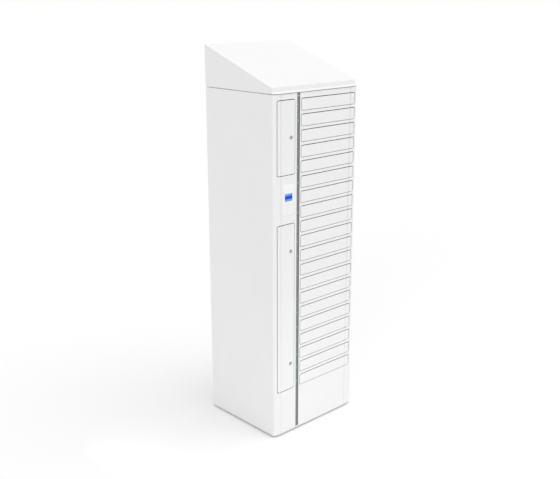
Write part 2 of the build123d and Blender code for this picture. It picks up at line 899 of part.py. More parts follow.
# Control housing behind the panel, with a raised seat that carries the display
with BuildPart() as control_housing:
    with BuildSketch(Plane.XZ.offset(-front_y - panel_boss_depth)):
        with Locations((plane_x(panel_centre_x), panel_centre_z)):
            Rectangle(housing_width, housing_height)
    extrude(amount=-housing_depth)
    display_back = panel_proud - display_recess - display_thickness
    with BuildSketch(Plane.XZ.offset(-front_y + display_back)):
        with Locations((plane_x(panel_centre_x), display_z)):
            Rectangle(display_width - 2 * strip_fit, display_height - 2 * strip_fit)
    extrude(amount=-(panel_boss_depth + display_back))
control_housing.part.label = "control_housing"
export_step(control_housing.part, "parts/control_housing.step")

# Hood: sloping sheet canopy with a return flange around its open bottom
hood_bottom = body_height + hood_gap
hood_lip_top = hood_bottom + hood_lip_height
hood_run = body_depth - hood_setback
hood_top = hood_lip_top + hood_run * tan(radians(hood_slope))


def hood_block(inset):
    """Wedge under the slope, drawn in by inset on every face."""
    slope_drop = inset / cos(radians(hood_slope))
    slope_shift = inset * tan(radians(hood_slope))
    front = plane_y(hood_setback + inset)
    low = hood_bottom + inset
    high_front = hood_lip_top + slope_shift - slope_drop
    high_rear = hood_top - slope_shift - slope_drop
    profile = [(front, low), (front, high_front), (rear_y - inset, high_rear)]
    with BuildPart() as block:
        with BuildSketch(Plane.YZ.offset(inset - body_width / 2)) as section:
            Polygon(*profile, (rear_y - inset, low), align=None)
            lip = section.vertices().group_by(Axis.Y)[0].sort_by(Axis.Z)[-1]
            fillet(lip, radius=hood_lip_radius - inset)
        extrude(amount=body_width - 2 * inset)
    return block.part


hood_outer = hood_block(0)
hood_hollow = hood_block(casing_sheet)
with BuildPart() as hood:
    add(hood_outer)
    add(hood_hollow, mode=Mode.SUBTRACT)
    with BuildSketch(Plane.XY.offset(hood_bottom)):
        with Locations((0, plane_y(hood_setback + hood_flange))):
            Rectangle(
                body_width - 2 * hood_flange,
                hood_run - 2 * hood_flange,
                align=(Align.CENTER, Align.MIN),
            )
    extrude(amount=casing_sheet, mode=Mode.SUBTRACT)
hood.part.label = "hood"
export_step(hood.part, "parts/hood.step")

# Spacer ring that carries the hood and leaves the shadow gap
with BuildPart() as hood_spacer:
    with BuildSketch(Plane.XY.offset(body_height)):
        with Locations((0, plane_y(hood_setback + spacer_inset))):
            Rectangle(
                body_width - 2 * spacer_inset,
                hood_run - 2 * spacer_inset,
                align=(Align.CENTER, Align.MIN),
            )
        with Locations((0, plane_y(hood_setback + spacer_inset + spacer_width))):
            Rectangle(
                body_width - 2 * (spacer_inset + spacer_width),
                hood_run - 2 * (spacer_inset + spacer_width),
                align=(Align.CENTER, Align.MIN),
                mode=Mode.SUBTRACT,
            )
    extrude(amount=hood_gap)
hood_spacer.part.label = "hood_spacer"
export_step(hood_spacer.part, "parts/hood_spacer.step")

# Controller with cooling fins, on the rear wall of the upper service compartment
controller_x = (casing_sheet + partition_x) / 2
controller_back = body_depth - casing_sheet
fin_pitch = controller_width / fin_count
with BuildPart() as controller_unit:
    with BuildSketch(Plane.XZ.offset(-plane_y(controller_back))):
        with Locations((plane_x(controller_x), upper_middle)):
            Rectangle(controller_width, controller_height)
    extrude(amount=controller_depth)
    controller_front = plane_y(controller_back - controller_depth)
    with BuildSketch(Plane.XZ.offset(-controller_front)):
        with Locations((plane_x(controller_x), upper_middle)):
            with GridLocations(fin_pitch, 1, fin_count, 1):
                Rectangle(fin_thickness, controller_height)
    extrude(amount=fin_depth)
controller_unit.part.label = "controller_unit"
export_step(controller_unit.part, "parts/controller_unit.step")

# Outlet strip for the charging adapters, on the rear wall of the lower compartment
outlet_back = body_depth - casing_sheet
outlet_front = outlet_back - outlet_strip_depth
outlet_pitch = outlet_strip_length / outlet_count
with BuildPart() as outlet_strip:
    with BuildSketch(Plane.XZ.offset(-plane_y(outlet_back))):
        with Locations((plane_x(controller_x), lower_middle)):
            Rectangle(outlet_strip_width, outlet_strip_length)
    extrude(amount=outlet_strip_depth)
    with BuildSketch(Plane.XZ.offset(-plane_y(outlet_front))):
        with Locations((plane_x(controller_x), lower_middle)):
            with GridLocations(1, outlet_pitch, 1, outlet_count):
                Rectangle(outlet_width, outlet_height)
    extrude(amount=outlet_depth)
outlet_strip.part.label = "outlet_strip"
export_step(outlet_strip.part, "parts/outlet_strip.step")

# Mains inlet in the back, low on the left
with BuildPart() as mains_inlet:
    inlet_centre = (plane_x(inlet_from_left), inlet_z)
    with BuildSketch(Plane.XZ.offset(-rear_y)):
        with Locations(inlet_centre):
            Rectangle(inlet_flange_width, inlet_flange_height)
    extrude(amount=-inlet_flange_thickness)
    with BuildSketch(Plane.XZ.offset(-rear_y)):
        with Locations(inlet_centre):
            Rectangle(inlet_width - 2 * strip_fit, inlet_height - 2 * strip_fit)
    extrude(amount=inlet_depth)
    with BuildSketch(Plane.XZ.offset(-rear_y - inlet_flange_thickness)):
        with Locations(inlet_centre):
            Rectangle(inlet_width - 2 * inlet_wall, inlet_height - 2 * inlet_wall)
    extrude(amount=inlet_recess_depth, mode=Mode.SUBTRACT)
    with BuildSketch(Plane.XZ.offset(-rear_y - inlet_flange_thickness + inlet_recess_depth)):
        with Locations(inlet_centre):
            with GridLocations(inlet_blade_pitch, 1, 3, 1):
                Rectangle(inlet_blade_width, inlet_blade_height)
    extrude(amount=-inlet_blade_length)
mains_inlet.part.label = "mains_inlet"
export_step(mains_inlet.part, "parts/mains_inlet.step")
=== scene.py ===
import json
import math
import bpy
import bmesh
import numpy as np
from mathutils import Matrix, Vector


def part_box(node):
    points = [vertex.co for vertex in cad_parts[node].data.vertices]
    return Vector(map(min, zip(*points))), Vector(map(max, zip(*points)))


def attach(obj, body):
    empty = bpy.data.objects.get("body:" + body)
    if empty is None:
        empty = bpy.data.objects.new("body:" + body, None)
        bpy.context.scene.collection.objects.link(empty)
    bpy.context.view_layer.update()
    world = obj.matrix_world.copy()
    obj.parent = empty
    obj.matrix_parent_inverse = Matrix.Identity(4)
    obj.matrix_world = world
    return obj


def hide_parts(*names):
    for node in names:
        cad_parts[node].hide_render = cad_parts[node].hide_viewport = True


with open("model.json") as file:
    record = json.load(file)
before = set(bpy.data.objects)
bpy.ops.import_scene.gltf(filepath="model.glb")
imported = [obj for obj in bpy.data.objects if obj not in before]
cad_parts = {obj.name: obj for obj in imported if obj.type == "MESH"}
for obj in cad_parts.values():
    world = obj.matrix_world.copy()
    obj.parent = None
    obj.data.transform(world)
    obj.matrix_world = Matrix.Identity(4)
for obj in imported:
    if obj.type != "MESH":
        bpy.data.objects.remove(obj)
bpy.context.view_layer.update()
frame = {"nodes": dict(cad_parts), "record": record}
nodes = frame["nodes"]
record = frame["record"]
scene = bpy.context.scene
bodyOf = {node: body for body, held in record["behaviour"]["bodies"].items() for node in held}
slotOf = {part["node"]: part["material_slot"] for part in record["subparts"]}
bayDoors = sorted(name for name in nodes if name.startswith("bay_door_"))
serviceDoors = ["upper_service_door", "lower_service_door"]
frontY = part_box("front_frame")[0].y
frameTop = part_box("front_frame")[1].z
print("frame loaded:", len(nodes), "nodes")


def middle(name):
    low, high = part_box(name)
    return (low + high) / 2


# Node trees

def newMaterial(name):
    material = bpy.data.materials.new(name)
    material.use_nodes = True
    material.node_tree.nodes.clear()
    return material, material.node_tree


def addNode(tree, kind, inputs=None, **settings):
    # a node with its settings, and with values or links on its input sockets
    node = tree.nodes.new(kind)
    for key, value in settings.items():
        setattr(node, key, value)
    for key, value in (inputs or {}).items():
        if isinstance(value, bpy.types.NodeSocket):
            tree.links.new(value, node.inputs[key])
        else:
            node.inputs[key].default_value = value
    return node


def objectPosition(tree, stretch=(1, 1, 1), shift=(0, 0, 0)):
    coordinates = addNode(tree, "ShaderNodeTexCoord")
    inputs = {"Vector": coordinates.outputs["Object"], "Location": shift, "Scale": stretch}
    return addNode(tree, "ShaderNodeMapping", inputs).outputs["Vector"]


def axes(tree, position):
    return addNode(tree, "ShaderNodeSeparateXYZ", {"Vector": position}).outputs


def spread(tree, value, low, high, start=0.0, end=1.0):
    # maps a value between start and end to the range between low and high
    inputs = {"Value": value, "From Min": start, "From Max": end, "To Min": low, "To Max": high}
    return addNode(tree, "ShaderNodeMapRange", inputs).outputs["Result"]


def calculate(tree, operation, first, second=0.0):
    return addNode(tree, "ShaderNodeMath", {0: first, 1: second}, operation=operation).outputs[0]


def blendColours(tree, amount, first, second):
    # the mix node's colours are its inputs 6 and 7 and its output 2
    mix = addNode(tree, "ShaderNodeMix", {"Factor": amount}, data_type="RGBA")
    for key, colour in ((6, first), (7, second)):
        if isinstance(colour, bpy.types.NodeSocket):
            tree.links.new(colour, mix.inputs[key])
        else:
            mix.inputs[key].default_value = (*colour, 1)
    return mix.outputs[2]


def noise(tree, position, scale, detail, roughness):
    inputs = {"Vector": position, "Scale": scale, "Detail": detail, "Roughness": roughness}
    return addNode(tree, "ShaderNodeTexNoise", inputs).outputs["Fac"]


def bumpFrom(tree, height, strength, distance, under=None):
    inputs = {"Height": height, "Strength": strength, "Distance": distance}
    if under is not None:
        inputs["Normal"] = under
    return addNode(tree, "ShaderNodeBump", inputs).outputs["Normal"]


def closeMaterial(tree, surface):
    addNode(tree, "ShaderNodeOutputMaterial", {"Surface": surface})


def shaded(colour, share, extra=0.0):
    return tuple(min(1.0, share * channel + extra) for channel in colour)


# Powder coat on the casing, the hood and the doors, with painted shade along the folds of the front

powderCoat = {                # each noise is a scale, a detail and a roughness
    "colour": (0.872, 0.872, 0.872),
    "cloudColour": (0.855, 0.856, 0.857),
    "cloudNoise": (3.5, 4.0, 0.6),
    "cloudRange": (0.3, 0.7),
    "grainNoise": (620.0, 2.0, 0.55),     # orange peel, about 1.6 mm
    "grainStrength": 0.5,
    "grainDepth": 0.00004,
    "waveNoise": (2.6, 1.0, 0.4),         # slow waves of rolled sheet
    "waveStrength": 0.35,
    "waveDepth": 0.0005,
    "smudgeNoise": (14.0, 5.0, 0.65),
    "roughness": (0.36, 0.48),
    "index": 1.5,
    "coat": 0.10,
    "coatRoughness": 0.25,
    "scuffColour": (0.70, 0.705, 0.71),
    "scuffHeight": 0.16,                  # faint scuffs up to here above the floor
    "scuffAmount": 0.35,
    "scuffStretch": (14, 14, 90),
    "scuffNoise": (1.0, 6.0, 0.75),
    "scuffRange": (0.56, 0.72),
    "folds": ((-0.2480, 0.12), (0.2350, 0.15)),   # place across the front, and how much darker its painted shade line is
    "foldHalf": 0.009,                    # the painted shade line fades out over this distance
    "foldHeights": (0.4, 1.5),            # half as dark at the first height as at the second
    "foldLimits": (0.004, 0.0005),        # only this far behind the front and above its top
    "seedShift": (1.0, 0.3, 0.7),
}


def paintedFoldShade(tree, coat):
    # painted shade along each shallow fold: strength times (1 - distance from the fold / half),
    # only on the front of doors and frame
    place = axes(tree, objectPosition(tree))
    behind, above = coat["foldLimits"]
    onFront = calculate(tree, "LESS_THAN", place["Y"], frontY + behind)
    underHood = calculate(tree, "LESS_THAN", place["Z"], frameTop + above)
    upwards = spread(tree, place["Z"], 0.5, 1.0, *coat["foldHeights"])
    total = 0.0
    for foldX, strength in coat["folds"]:
        distance = calculate(tree, "ABSOLUTE", calculate(tree, "SUBTRACT", place["X"], foldX))
        line = spread(tree, distance, strength, 0.0, 0.0, coat["foldHalf"])
        total = calculate(tree, "ADD", line, total)
    total = calculate(tree, "MULTIPLY", total, upwards)
    return calculate(tree, "MULTIPLY", total, calculate(tree, "MULTIPLY", onFront, underHood))


def powderCoatMaterial(name, coat, seed):
    material, tree = newMaterial(name)
    position = objectPosition(tree, shift=[part * seed for part in coat["seedShift"]])
    cloud = noise(tree, position, *coat["cloudNoise"])
    grain = noise(tree, position, *coat["grainNoise"])
    wave = noise(tree, position, *coat["waveNoise"])
    smudge = noise(tree, position, *coat["smudgeNoise"])
    cloudy = spread(tree, cloud, 0.0, 1.0, *coat["cloudRange"])
    base = blendColours(tree, cloudy, coat["colour"], coat["cloudColour"])
    height = axes(tree, objectPosition(tree))["Z"]
    near = spread(tree, height, 1.0, 0.0, 0.0, coat["scuffHeight"])
    streak = noise(tree, objectPosition(tree, coat["scuffStretch"]), *coat["scuffNoise"])
    mark = spread(tree, streak, 0.0, coat["scuffAmount"], *coat["scuffRange"])
    scuff = calculate(tree, "MULTIPLY", mark, near)
    normal = bumpFrom(tree, wave, coat["waveStrength"], coat["waveDepth"])
    normal = bumpFrom(tree, grain, coat["grainStrength"], coat["grainDepth"], normal)
    colour = blendColours(tree, scuff, base, coat["scuffColour"])
    shader = addNode(tree, "ShaderNodeBsdfPrincipled", {
        # the coat's colour is darkened towards black by the painted fold shade
        "Base Color": blendColours(tree, paintedFoldShade(tree, coat), colour, (0.0, 0.0, 0.0)),
        "Roughness": spread(tree, smudge, *coat["roughness"]),
        "IOR": coat["index"],
        "Coat Weight": coat["coat"],
        "Coat Roughness": coat["coatRoughness"],
        "Normal": normal,
    })
    closeMaterial(tree, shader.outputs["BSDF"])
    return material


# Bare metal: galvanised sheet inside and chromed locks

galvanised = {
    "light": (0.60, 0.61, 0.62),
    "dark": (0.43, 0.44, 0.46),
    "spangleScale": 55.0,     # crystals of about 18 mm
    "warpScale": 40.0,
    "warp": (0.012, 0.012, 0.012),    # how far the crystals' edges wander
    "roughness": (0.38, 0.58),
    "metal": 0.85,
    "scratchStretch": (30, 30, 900),
    "scratchNoise": (1.0, 3.0, 0.6),
    "scratchStrength": 0.25,
    "scratchDepth": 0.00005,
}


def galvanisedMaterial(name, sheet):
    material, tree = newMaterial(name)
    position = objectPosition(tree)
    warp = addNode(tree, "ShaderNodeTexNoise", {"Vector": position, "Scale": sheet["warpScale"]})
    offset = addNode(tree, "ShaderNodeVectorMath", {0: warp.outputs["Color"], 1: sheet["warp"]},
                     operation="MULTIPLY").outputs["Vector"]
    moved = addNode(tree, "ShaderNodeVectorMath", {0: position, 1: offset},
                    operation="ADD").outputs["Vector"]
    spangle = addNode(tree, "ShaderNodeTexVoronoi", {"Vector": moved,
                                                     "Scale": sheet["spangleScale"]})
    colours = addNode(tree, "ShaderNodeSeparateColor", {"Color": spangle.outputs["Color"]})
    shade = colours.outputs["Red"]
    scratch = noise(tree, objectPosition(tree, sheet["scratchStretch"]), *sheet["scratchNoise"])
    shader = addNode(tree, "ShaderNodeBsdfPrincipled", {
        "Base Color": blendColours(tree, shade, sheet["dark"], sheet["light"]),
        "Metallic": sheet["metal"],
        "Roughness": spread(tree, shade, *sheet["roughness"]),
        "Normal": bumpFrom(tree, scratch, sheet["scratchStrength"], sheet["scratchDepth"]),
    })
    closeMaterial(tree, shader.outputs["BSDF"])
    return material


chrome = {
    "colour": (0.46, 0.465, 0.47),
    "roughness": (0.16, 0.30),
    "speckNoise": (900.0, 3.0, 0.7),
    "speckShade": 0.84,
    "lineStretch": (1, 1, 0.02),      # fine lines from polishing, upright on the lock's face
    "lineNoise": (1500.0, 2.0, 0.6),
    "lineStrength": 0.15,
    "lineDepth": 0.00002,
}


def chromeMaterial(name, plating):
    material, tree = newMaterial(name)
    speck = noise(tree, objectPosition(tree), *plating["speckNoise"])
    line = noise(tree, objectPosition(tree, plating["lineStretch"]), *plating["lineNoise"])
    colour = plating["colour"]
    shader = addNode(tree, "ShaderNodeBsdfPrincipled", {
        "Base Color": blendColours(tree, speck, colour, shaded(colour, plating["speckShade"])),
        "Metallic": 1.0,
        "Roughness": spread(tree, line, *plating["roughness"]),
        "Normal": bumpFrom(tree, line, plating["lineStrength"], plating["lineDepth"]),
    })
    closeMaterial(tree, shader.outputs["BSDF"])
    return material


# Plastics, rubber and the controller's anodised case

plastics = {                  # colour, least and most roughness, scale and depth of the grain
    "strip_grey": ((0.195, 0.20, 0.205), (0.34, 0.50), 900.0, 0.00003),
    "bezel_white": ((0.945, 0.945, 0.95), (0.36, 0.50), 1100.0, 0.00004),
    "reader_white": ((0.93, 0.93, 0.935), (0.40, 0.55), 1300.0, 0.00004),
    # the next grey is painted shade for the splits between the panel's mouldings
    "seamShadeGrey": ((0.46, 0.46, 0.47), (0.50, 0.65), 1300.0, 0.00002),
    "indicatorGrey": ((0.30, 0.30, 0.31), (0.30, 0.45), 1300.0, 0.00002),
    "black_plastic": ((0.03, 0.03, 0.033), (0.42, 0.60), 800.0, 0.00005),
    "circuit_board": ((0.02, 0.09, 0.04), (0.30, 0.45), 400.0, 0.00003),
    "heat_sink": ((0.42, 0.43, 0.44), (0.34, 0.50), 500.0, 0.00003),
    "rubber_foot": ((0.022, 0.022, 0.023), (0.70, 0.88), 500.0, 0.0001),
    "socketFace": ((0.10, 0.10, 0.105), (0.30, 0.44), 1000.0, 0.00003),
    # the next near-black is painted shade for the holes of sockets and outlets
    "apertureShade": ((0.006, 0.006, 0.007), (0.50, 0.70), 1000.0, 0.00003),
}
mouldedSkin = {
    "tintNoise": (18.0, 4.0, 0.6),
    "tintShade": 0.93,
    "rubNoise": (45.0, 4.0, 0.7),
    "grainDetail": (3.0, 0.6),
    "grainStrength": 0.5,
}


def plasticMaterial(name, part, skin):
    colour, roughness, grainScale, grainDepth = part
    material, tree = newMaterial(name)
    position = objectPosition(tree)
    tint = noise(tree, position, *skin["tintNoise"])
    grain = noise(tree, position, grainScale, *skin["grainDetail"])
    rub = noise(tree, position, *skin["rubNoise"])
    shader = addNode(tree, "ShaderNodeBsdfPrincipled", {
        "Base Color": blendColours(tree, tint, colour, shaded(colour, skin["tintShade"])),
        "Roughness": spread(tree, rub, *roughness),
        "Normal": bumpFrom(tree, grain, skin["grainStrength"], grainDepth),
    })
    closeMaterial(tree, shader.outputs["BSDF"])
    return material


# Status lamps: a lit diffuser with a fine moulded grain

lamps = {                     # colour and glow
    "lamp_green": ((0.055, 0.32, 0.105), 0.42),
    "lamp_red": ((0.31, 0.075, 0.125), 0.34),
    "lamp_teal": ((0.065, 0.27, 0.205), 0.26),
    "lamp_unlit": ((0.20, 0.205, 0.21), 0.0),
    "lightBar": ((0.30, 0.42, 0.39), 0.10),
}
diffuser = {
    "grainNoise": (1500.0, 2.0, 0.6),
    "grainStrength": 0.3,
    "grainDepth": 0.00003,
    "roughness": (0.25, 0.45),
    "patchNoise": (260.0, 2.0, 0.5),
    "patchAmount": 0.8,
    "patchShade": (1.3, 0.02),    # the brighter patches: times the first, plus the second
}


def lampMaterial(name, lamp, form):
    colour, glow = lamp
    material, tree = newMaterial(name)
    position = objectPosition(tree)
    grain = noise(tree, position, *form["grainNoise"])
    patch = noise(tree, position, *form["patchNoise"])
    lit = blendColours(tree, spread(tree, patch, 0.0, form["patchAmount"]), colour,
                       shaded(colour, *form["patchShade"]))
    shader = addNode(tree, "ShaderNodeBsdfPrincipled", {
        "Base Color": lit,
        "Roughness": spread(tree, grain, *form["roughness"]),
        "Emission Color": lit,
        "Emission Strength": glow,
        "Normal": bumpFrom(tree, grain, form["grainStrength"], form["grainDepth"]),
    })
    closeMaterial(tree, shader.outputs["BSDF"])
    return material


# The small screen: pale bands above and below a deep blue field with three plain tiles

screen = {
    "paleBlue": (0.17, 0.40, 0.84),
    "deepBlue": (0.010, 0.035, 0.76),
    "tile": (0.035, 0.08, 0.84),
    "bands": ((0.0, "paleBlue"), (0.30, "deepBlue"), (0.70, "paleBlue")),
    "tileCount": 3,
    "tileShare": 0.62,        # of each third of the width
    "tileRows": (0.42, 0.58),
    "glow": 0.9,
    "pixelScale": 4000.0,
    "pixelShade": (0.93, 0.93, 0.95, 1),
    "glassColour": (0.01, 0.01, 0.012, 1),
    "index": 1.22,
    "smearNoise": (60.0, 3.0, 0.6),
    "roughness": (0.05, 0.14),
}


def screenMaterial(name, face, low, high):
    # the place on the screen, as shares of its width and height, picks the band and the tiles
    material, tree = newMaterial(name)
    position = objectPosition(tree)
    place = axes(tree, position)
    across = spread(tree, place["X"], 0.0, 1.0, low.x, high.x)
    rise = spread(tree, place["Z"], 0.0, 1.0, low.z, high.z)
    ramp = addNode(tree, "ShaderNodeValToRGB", {"Fac": rise})
    ramp.color_ramp.interpolation = "CONSTANT"
    elements = ramp.color_ramp.elements
    while len(elements) < len(face["bands"]):
        elements.new(0.5)
    for element, (start, colour) in zip(elements, face["bands"]):
        element.position = start
        element.color = (*face[colour], 1)
    third = calculate(tree, "FRACT", calculate(tree, "MULTIPLY", across, face["tileCount"]))
    offCentre = calculate(tree, "ABSOLUTE", calculate(tree, "SUBTRACT", third, 0.5))
    inColumn = calculate(tree, "LESS_THAN", offCentre, face["tileShare"] / 2)
    rowMiddle = sum(face["tileRows"]) / 2
    offRow = calculate(tree, "ABSOLUTE", calculate(tree, "SUBTRACT", rise, rowMiddle))
    inRow = calculate(tree, "LESS_THAN", offRow, face["tileRows"][1] - rowMiddle)
    inTile = calculate(tree, "MULTIPLY", inColumn, inRow)
    picture = blendColours(tree, inTile, ramp.outputs["Color"], face["tile"])
    pixels = addNode(tree, "ShaderNodeTexChecker", {
        "Vector": position, "Scale": face["pixelScale"],
        "Color1": (1, 1, 1, 1), "Color2": face["pixelShade"]})
    grid = addNode(tree, "ShaderNodeMix", {"Factor": 1.0}, data_type="RGBA", blend_type="MULTIPLY")
    tree.links.new(picture, grid.inputs[6])
    tree.links.new(pixels.outputs["Color"], grid.inputs[7])
    smear = noise(tree, position, *face["smearNoise"])
    shader = addNode(tree, "ShaderNodeBsdfPrincipled", {
        "Base Color": face["glassColour"],
        "IOR": face["index"],
        "Roughness": spread(tree, smear, *face["roughness"]),
        "Emission Color": grid.outputs[2],
        "Emission Strength": face["glow"],
    })
    closeMaterial(tree, shader.outputs["BSDF"])
    return material


# The control panel's face: a plate with a window for the screen, and the reader's cover plate

panelPlate = {
    "centreX": -0.1980,
    "halfSize": (0.0365, 0.0765),
    "corner": 0.003,
    "proud": 0.0012,
    "edge": ((0.0, 0.0006), (0.0002, 0.0002), (0.0006, 0.0)),     # inset, depth behind the face
    "windowHalf": (0.02525, 0.01925),
    "windowCorner": 0.0008,
    "windowBevel": 0.0003,
    "glassBack": 0.0004,      # the glass stands this far behind the plate's face
    "glassCorner": 0.0004,
    "readerCentre": (-0.1860, 1.2192),
    "readerHalf": (0.019, 0.0225),
    "readerCorner": 0.0012,
    "readerEdge": ((0.0, 0.0004), (0.0, 0.0), (0.0002, -0.0001)),
}
screenZ = middle("display_glass").z
screenMiddle = Vector((panelPlate["centreX"], 0, screenZ))
screenReach = Vector((panelPlate["windowHalf"][0], 0, panelPlate["windowHalf"][1]))

finishes = {
    "white_coat": powderCoatMaterial("casingCoat", powderCoat, 0.0),
    "door_coat": powderCoatMaterial("doorCoat", powderCoat, 3.1),
    "galvanised": galvanisedMaterial("galvanisedSheet", galvanised),
    "lock_chrome": chromeMaterial("lockChrome", chrome),
    "display": screenMaterial("screenFace", screen, screenMiddle - screenReach,
                              screenMiddle + screenReach),
}
finishes.update({name: plasticMaterial(name, part, mouldedSkin) for name, part in plastics.items()})
finishes.update({name: lampMaterial(name, lamp, diffuser) for name, lamp in lamps.items()})


def paint(piece, finish):
    if not piece.material_slots:
        piece.data.materials.append(None)
    for slot in piece.material_slots:
        slot.material = finishes[finish]


for name, piece in nodes.items():
    paint(piece, slotOf[name])
print("finishes made:", len(finishes))


# Meshes and pieces

sharpFrom = 30.0              # degrees between two faces whose edge counts as sharp
smoothUpTo = 38.0             # degrees between two faces that are shaded as one, after rounding
flatWithin = 0.5              # degrees between two faces that count as one
bendWidth = 0.0045            # faces narrower than this belong to a bend or a rounded edge
mergeWithin = {"node": 2e-6, "loft": 1e-7}    # vertices closer than this become one


def joinFlats(work):
    bmesh.ops.dissolve_limit(work, angle_limit=math.radians(flatWithin), verts=work.verts[:],
                             edges=work.edges[:])


def roundOver(work, lines, width, segments):
    # each edge is cut back by the width on both faces and bridged by an arc
    bmesh.ops.bevel(work, geom=lines, offset=width, offset_type="OFFSET", segments=segments,
                    profile=0.5, affect="EDGES", clamp_overlap=True)


def storeMesh(work, mesh, isSmooth, smoothAngle):
    work.normal_update()
    for face in work.faces:
        face.smooth = isSmooth(face)
    for line in work.edges:
        if len(line.link_faces) == 2:
            line.smooth = line.calc_face_angle() < math.radians(smoothAngle)
    work.to_mesh(mesh)
    work.free()
    return mesh


def addPiece(name, mesh, body, slot, finish, *standsFor):
    piece = bpy.data.objects.new(name, mesh)
    scene.collection.objects.link(piece)
    paint(piece, finish)
    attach(piece, body)
    if standsFor:
        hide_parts(*standsFor)


# Rounded copies: the same shapes with merged faces and softly rounded edges

roundedEdges = (              # width, segments and nodes
    (0.00045, 2, ["front_frame", "body_wrap", "top_panel"]),
    (0.00035, 2, bayDoors + serviceDoors),
    (0.00065, 3, ["hood"]),
    (0.0006, 2, ["bay_latches", "control_housing", "outlet_strip", "mains_inlet"]),
    (0.00025, 2, ["controller_unit"]),
    (0.0012, 2, ["levelling_feet"]),
)
doorTrim = {                  # how far the left, right, low and high edges stand further in
    "bay": (0.0008, 0.0015, 0.0, 0.0014),
    "service": (0.0014, 0.0, 0.0010, 0.0014),
    "reach": 0.0065,          # the shift fades out over this distance, before the pivot's bore
}
lockHoleReach = 0.011         # edges this close to a lock's middle stay sharp, under its head
lockCentres = {
    "upper_lock_barrel": [middle("upper_lock_plug")],
    "lower_lock_barrels": [middle("lower_lock_top_plug"), middle("lower_lock_bottom_plug")],
}


def atLockHole(line):
    place = (line.verts[0].co + line.verts[1].co) / 2
    return any(math.hypot(place.x - centre.x, place.z - centre.z) < lockHoleReach
               for centres in lockCentres.values() for centre in centres)


def drawIn(work, trim, reach):
    # each vertex moves inwards by the edge's trim times (1 - distance from the edge / reach)
    x = [vert.co.x for vert in work.verts]
    z = [vert.co.z for vert in work.verts]
    leftEdge, rightEdge, lowEdge, highEdge = min(x), max(x), min(z), max(z)
    left, right, low, high = trim
    for vert in work.verts:
        fromLeft, fromRight = vert.co.x - leftEdge, rightEdge - vert.co.x
        fromLow, fromHigh = vert.co.z - lowEdge, highEdge - vert.co.z
        vert.co.x += left * max(0.0, 1 - fromLeft / reach) - right * max(0.0, 1 - fromRight / reach)
        vert.co.z += low * max(0.0, 1 - fromLow / reach) - high * max(0.0, 1 - fromHigh / reach)


def isNarrow(face):
    around = sum(line.calc_length() for line in face.edges)
    return face.calc_area() < bendWidth * around / 2


def roundedCopy(name, width, segments):
    mesh = nodes[name].data.copy()
    mesh.name = name + "Rounded"
    work = bmesh.new()
    work.from_mesh(mesh)
    bmesh.ops.remove_doubles(work, verts=work.verts[:], dist=mergeWithin["node"])
    joinFlats(work)
    if name in bayDoors:
        drawIn(work, doorTrim["bay"], doorTrim["reach"])
    if name in serviceDoors:
        drawIn(work, doorTrim["service"], doorTrim["reach"])
    sharp = [line for line in work.edges
             if len(line.link_faces) == 2 and line.calc_face_angle() > math.radians(sharpFrom)
             and not (name in serviceDoors and atLockHole(line))]
    roundOver(work, sharp, width, segments)
    storeMesh(work, mesh, isNarrow, smoothUpTo)
    addPiece(name + "_rounded", mesh, bodyOf[name], slotOf[name], slotOf[name], name)


for width, segments, names in roundedEdges:
    for name in names:
        roundedCopy(name, width, segments)
print("rounded copies:", sum(len(names) for _, _, names in roundedEdges))


# Lofted pieces: outlines in the front's plane, carried back through a list of rows

def roundedOutline(halfWidth, halfHeight, radius, steps):
    # for each quarter turn: the corner's centre plus radius times (cos a, sin a), so a radius equal
    # to both half sizes gives a circle
    turn = np.linspace(0, math.pi / 2, steps + 1)
    angle = np.concatenate([turn + quarter * math.pi / 2 for quarter in range(4)])
    sideX = np.repeat([1, -1, -1, 1], steps + 1)
    sideZ = np.repeat([1, 1, -1, -1], steps + 1)
    x = sideX * (halfWidth - radius) + radius * np.cos(angle)
    z = sideZ * (halfHeight - radius) + radius * np.sin(angle)
    return np.stack([x, z], axis=1)


def loftMesh(name, centres, rows, steps=6, ringed=False):
    # each row is (halfWidth, halfHeight, radius, depth, rise): its outline stands at that depth
    # behind the front and at that rise above the centre, 0 where it is left out; rows join in
    # quads, and the last joins the first (ringed) or both ends are closed flat
    outlines = []
    for halfWidth, halfHeight, radius, depth, *rise in rows:
        x, z = roundedOutline(halfWidth, halfHeight, radius, steps).T
        outlines.append(np.column_stack([x, np.full(len(x), frontY + depth), z + sum(rise)]))
    outlines = np.stack(outlines)
    rowCount, columnCount = outlines.shape[:2]
    row = np.arange(rowCount if ringed else rowCount - 1)[:, None]
    column = np.arange(columnCount)
    nextRow = (row + 1) % rowCount
    nextColumn = (column + 1) % columnCount
    quads = np.stack(np.broadcast_arrays(
        row * columnCount + column, row * columnCount + nextColumn,
        nextRow * columnCount + nextColumn, nextRow * columnCount + column), axis=-1).reshape(-1, 4)
    points, faces = [], []
    for number, (x, z) in enumerate(centres):
        base = number * rowCount * columnCount
        points.append((outlines + np.array([x, 0, z])).reshape(-1, 3))
        faces += (quads + base).tolist()
        if not ringed:
            faces.append((base + column[::-1]).tolist())
            faces.append((base + (rowCount - 1) * columnCount + column).tolist())
    mesh = bpy.data.meshes.new(name)
    mesh.from_pydata(np.concatenate(points).tolist(), [], faces)
    work = bmesh.new()
    work.from_mesh(mesh)
    bmesh.ops.remove_doubles(work, verts=work.verts[:], dist=mergeWithin["loft"])
    bmesh.ops.recalc_face_normals(work, faces=work.faces[:])
    return storeMesh(work, mesh, lambda face: len(face.verts) <= 4, sharpFrom)


# Cam locks: a domed chrome head with a dished face, on a square shank

lockHead = {
    "proud": 0.0015,
    "profile": (              # radius, and depth behind the head's front, from the bore to the rim
        (0.00562, 0.0006), (0.0066, 0.0006), (0.0073, 0.0001), (0.0078, 0.0), (0.0086, 0.0),
        (0.0093, 0.0003), (0.0098, 0.0008), (0.010, 0.0014)),
    "shankHalf": 0.007,
    "shankCorner": 0.0008,
    "shankDepth": 0.020,
    "steps": 10,
}


